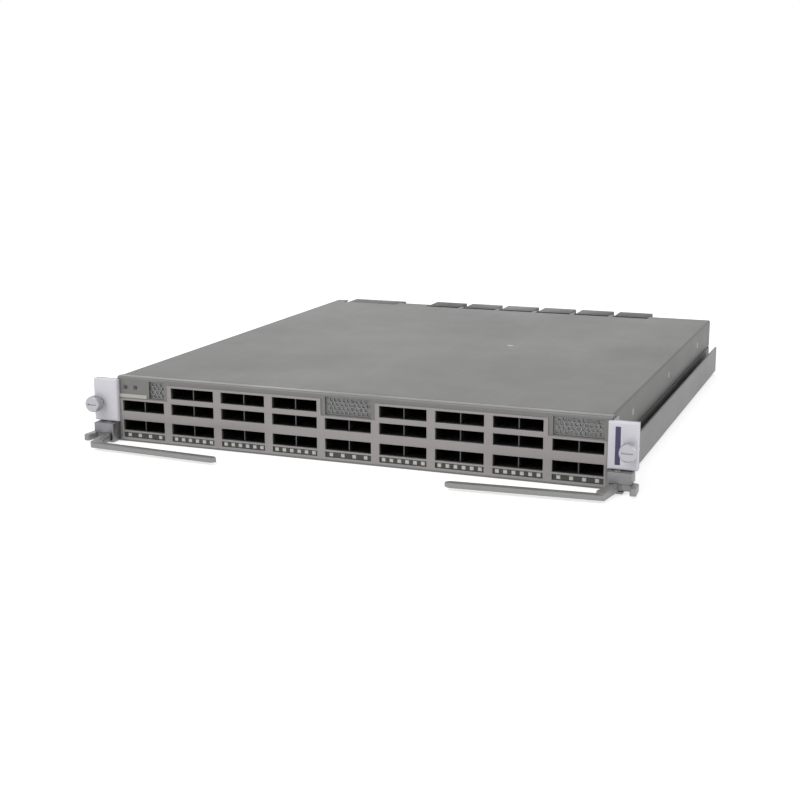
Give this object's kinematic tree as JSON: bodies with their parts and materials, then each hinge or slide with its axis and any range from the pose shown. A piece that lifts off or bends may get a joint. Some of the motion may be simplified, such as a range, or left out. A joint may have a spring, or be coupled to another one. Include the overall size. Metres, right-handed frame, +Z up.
{
  "type": "switch line card",
  "caption": "Chassis switch line card: sheet-metal card with rows of pluggable-transceiver ports, vented panel, ejector levers, captive thumbscrews and rear direct-mate connectors",
  "frame": {"origin": "middle of the tray's underside, halfway from the port face to the tray's rear edge", "axes": "+X towards the right ear seen from the port face, +Y from the port face to the rear connectors, +Z up"},
  "size_m": [0.444, 0.503, 0.053],
  "materials": {
    "tray_steel": "zinc-plated sheet steel, matt",
    "cover_steel": "zinc-plated sheet steel, matt",
    "panel_steel": "satin mid-grey plated steel",
    "grille_steel": "perforated plated sheet",
    "bezel_metal": "satin pale grey bezel",
    "label_plastic": "bare pale plate",
    "cage_steel": "nickel-plated thin sheet",
    "black_plastic": "moulded black",
    "dark_plastic": "moulded dark grey",
    "clear_plastic": "translucent moulded light pipe",
    "board_laminate": "solder-masked glass laminate",
    "brass_plated": "plated hexagon spacer",
    "screw_steel": "zinc-plated steel",
    "chip_package": "moulded package",
    "sink_aluminium": "clear-anodised, finned",
    "converter_case": "potted converter",
    "connector_plastic": "glass-filled, dark grey",
    "guide_metal": "plated die-cast metal",
    "rail_steel": "plated folded steel",
    "bracket_steel": "plated bent steel",
    "ear_plastic": "satin moulded, pale grey",
    "violet_plastic": "moulded, violet",
    "lever_metal": "satin grey die-cast lever",
    "ferrule_steel": "turned, plated",
    "knob_metal": "knurled, nickel-plated"
  },
  "bodies": {
    "chassis": {"board_screws": "screw_steel", "board_standoffs": "brass_plated", "card_tray": "tray_steel", "cover_post": "brass_plated", "cover_screws": "screw_steel", "front_panel": "panel_steel", "guide_sockets": "guide_metal", "host_connectors": "black_plastic", "label_plate": "label_plastic", "left_ear_bracket": "bracket_steel", "left_ear_cover": "ear_plastic", "left_heat_sink": "sink_aluminium", "left_side_rail": "rail_steel", "light_pipe_holders": "dark_plastic", "light_pipes": "clear_plastic", "lower_cage_1": "cage_steel", "lower_cage_2": "cage_steel", "lower_cage_3": "cage_steel", "lower_cage_4": "cage_steel", "lower_cage_5": "cage_steel", "lower_cage_6": "cage_steel", "lower_cage_7": "cage_steel", "lower_cage_8": "cage_steel", "lower_cage_9": "cage_steel", "main_board": "board_laminate", "marker_strip": "violet_plastic", "pivot_pins": "screw_steel", "port_bezel": "bezel_metal", "power_connector": "connector_plastic", "power_converters": "converter_case", "right_ear_bracket": "bracket_steel", "right_ear_cover": "ear_plastic", "right_heat_sink": "sink_aluminium", "right_side_rail": "rail_steel", "screw_ferrules": "ferrule_steel", "signal_connector_1": "connector_plastic", "signal_connector_2": "connector_plastic", "signal_connector_3": "connector_plastic", "signal_connector_4": "connector_plastic", "signal_connector_5": "connector_plastic", "signal_connector_6": "connector_plastic", "status_lights": "clear_plastic", "switch_chips": "chip_package", "top_cover": "cover_steel", "upper_cage_1": "cage_steel", "upper_cage_2": "cage_steel", "upper_cage_3": "cage_steel", "upper_cage_4": "cage_steel", "upper_cage_5": "cage_steel", "upper_cage_6": "cage_steel", "upper_cage_7": "cage_steel", "upper_cage_8": "cage_steel", "upper_cage_9": "cage_steel", "vent_grilles": "grille_steel"},
    "left_lever": {"left_ejector_lever": "lever_metal"},
    "right_lever": {"right_ejector_lever": "lever_metal"},
    "left_clip": {"left_retaining_clip": "screw_steel"},
    "right_clip": {"right_retaining_clip": "screw_steel"},
    "left_screw": {"left_thumbscrew": "knob_metal"},
    "right_screw": {"right_thumbscrew": "knob_metal"}
  },
  "joints": [
    {"name": "left_lever_swing", "type": "hinge", "parent": "chassis", "child": "left_lever", "pos_m": [-0.2063, -0.2242, 0.0074], "axis": [0, 0, -1], "range_deg": [-3.8, 50]},
    {"name": "left_screw_press", "type": "slide", "parent": "chassis", "child": "left_clip", "axis": [0, 1, 0], "range_m": [0, 0.0035], "stiffness_N_per_m": 150},
    {"name": "left_screw_turn", "type": "hinge", "parent": "left_clip", "child": "left_screw", "pos_m": [-0.2147, -0.2235, 0.0315], "axis": [0, 1, 0], "continuous": true},
    {"name": "right_lever_swing", "type": "hinge", "parent": "chassis", "child": "right_lever", "pos_m": [0.2063, -0.2242, 0.0074], "axis": [0, 0, 1], "range_deg": [-3.8, 50]},
    {"name": "right_screw_press", "type": "slide", "parent": "chassis", "child": "right_clip", "axis": [0, 1, 0], "range_m": [0, 0.0035], "stiffness_N_per_m": 150},
    {"name": "right_screw_turn", "type": "hinge", "parent": "right_clip", "child": "right_screw", "pos_m": [0.2147, -0.2235, 0.0315], "axis": [0, 1, 0], "continuous": true}
  ]
}
